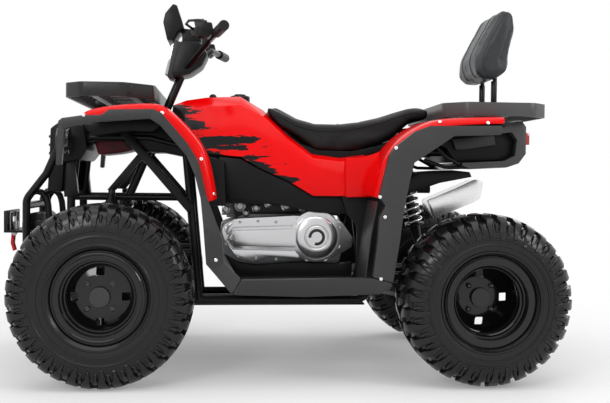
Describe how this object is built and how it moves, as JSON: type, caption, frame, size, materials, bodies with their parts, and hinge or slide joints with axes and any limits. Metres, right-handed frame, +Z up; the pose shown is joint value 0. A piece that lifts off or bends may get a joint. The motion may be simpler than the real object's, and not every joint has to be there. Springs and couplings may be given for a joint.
{
  "type": "utility quad bike",
  "caption": "Utility quad bike with tube frame, solid rear axle, belt drive engine, two racks, front winch and padded passenger backrest.",
  "frame": {"origin": "on the ground under the middle of the overall length", "axes": "+X forward, +Y to the rider's left, +Z up"},
  "size_m": [1.8939, 1.076, 1.3073],
  "materials": {
    "black_steel": "satin black powder coat",
    "spring_chrome": "chrome",
    "chain_steel": "oiled steel",
    "rod_steel": "zinc plated",
    "hub_steel": "machined",
    "engine_alloy": "cast",
    "cover_alloy": "satin painted",
    "muffler_steel": "brushed",
    "red_plastic": "high gloss",
    "grey_plastic": "fine grain",
    "black_plastic": "smooth",
    "dark_rack": "satin",
    "light_rack": "satin",
    "seat_vinyl": "matte vinyl",
    "backrest_leather": "soft sheen",
    "winch_black": "satin",
    "lamp_glass": "clear",
    "tail_red": "gloss",
    "grip_rubber": "ribbed",
    "tyre_rubber": "tread rubber",
    "wheel_black": "gloss black"
  },
  "bodies": {
    "chassis": {"frame": "black_steel", "wishbones": "black_steel", "front_shocks": "spring_chrome", "rear_shock": "spring_chrome", "swing_arm": "black_steel", "chain": "chain_steel", "engine": "engine_alloy", "cvt_cover": "cover_alloy", "exhaust_pipe": "black_steel", "muffler": "muffler_steel", "front_fender": "red_plastic", "front_flares": "grey_plastic", "rear_flares": "grey_plastic", "footboards": "grey_plastic", "rear_fender": "red_plastic", "tank_cover": "red_plastic", "side_panels": "black_plastic", "seat": "seat_vinyl", "front_rack": "dark_rack", "rear_rack": "light_rack", "backrest_pad": "backrest_leather", "backrest_posts": "black_steel", "front_bumper": "black_steel", "winch": "winch_black", "headlamps": "lamp_glass", "tail_lamp": "tail_red", "skid_plate": "black_steel"},
    "steering": {"steering_column": "black_steel", "handlebar": "black_steel", "grips": "grip_rubber"},
    "knuckle_body_left": {"knuckle_left": "black_steel"},
    "tie_rod_body_left": {"tie_rod_left": "rod_steel"},
    "front_wheel_left": {"front_tyre_left": "tyre_rubber", "front_rim_left": "wheel_black", "front_hub_left": "hub_steel"},
    "knuckle_body_right": {"knuckle_right": "black_steel"},
    "tie_rod_body_right": {"tie_rod_right": "rod_steel"},
    "front_wheel_right": {"front_tyre_right": "tyre_rubber", "front_rim_right": "wheel_black", "front_hub_right": "hub_steel"},
    "rear_axle_body": {"rear_axle": "hub_steel", "rear_tyre_left": "tyre_rubber", "rear_tyre_right": "tyre_rubber", "rear_rim_left": "wheel_black", "rear_rim_right": "wheel_black"}
  },
  "joints": [
    {"name": "steering", "type": "hinge", "parent": "chassis", "child": "steering", "pos_m": [0.342, 0, 1.03], "axis": [-0.3907, 0, 0.9205], "range_deg": [-30, 30]},
    {"name": "rear_axle_spin", "type": "hinge", "parent": "chassis", "child": "rear_axle_body", "pos_m": [-0.6675, 0, 0.2795], "axis": [0, 1, 0], "continuous": true},
    {"name": "kingpin_left", "type": "hinge", "parent": "chassis", "child": "knuckle_body_left", "pos_m": [0.5625, 0.326, 0.292], "axis": [0, 0, 1], "range_deg": [-30, 30]},
    {"name": "wheel_spin_left", "type": "hinge", "parent": "knuckle_body_left", "child": "front_wheel_left", "pos_m": [0.5625, 0.415, 0.292], "axis": [0, 1, 0], "continuous": true},
    {"name": "tie_rod_pivot_left", "type": "hinge", "parent": "knuckle_body_left", "child": "tie_rod_body_left", "pos_m": [0.6245, 0.326, 0.308], "axis": [0, 0, 1], "range_deg": [-30, 30]},
    {"name": "kingpin_right", "type": "hinge", "parent": "chassis", "child": "knuckle_body_right", "pos_m": [0.5625, -0.326, 0.292], "axis": [0, 0, 1], "range_deg": [-30, 30]},
    {"name": "wheel_spin_right", "type": "hinge", "parent": "knuckle_body_right", "child": "front_wheel_right", "pos_m": [0.5625, -0.415, 0.292], "axis": [0, 1, 0], "continuous": true},
    {"name": "tie_rod_pivot_right", "type": "hinge", "parent": "knuckle_body_right", "child": "tie_rod_body_right", "pos_m": [0.6245, -0.326, 0.308], "axis": [0, 0, 1], "range_deg": [-30, 30]}
  ],
  "couplings": [
    {"joint": "kingpin_left", "follows": "steering", "ratio": 1},
    {"joint": "tie_rod_pivot_left", "follows": "steering", "ratio": -1},
    {"joint": "kingpin_right", "follows": "steering", "ratio": 1},
    {"joint": "tie_rod_pivot_right", "follows": "steering", "ratio": -1}
  ]
}
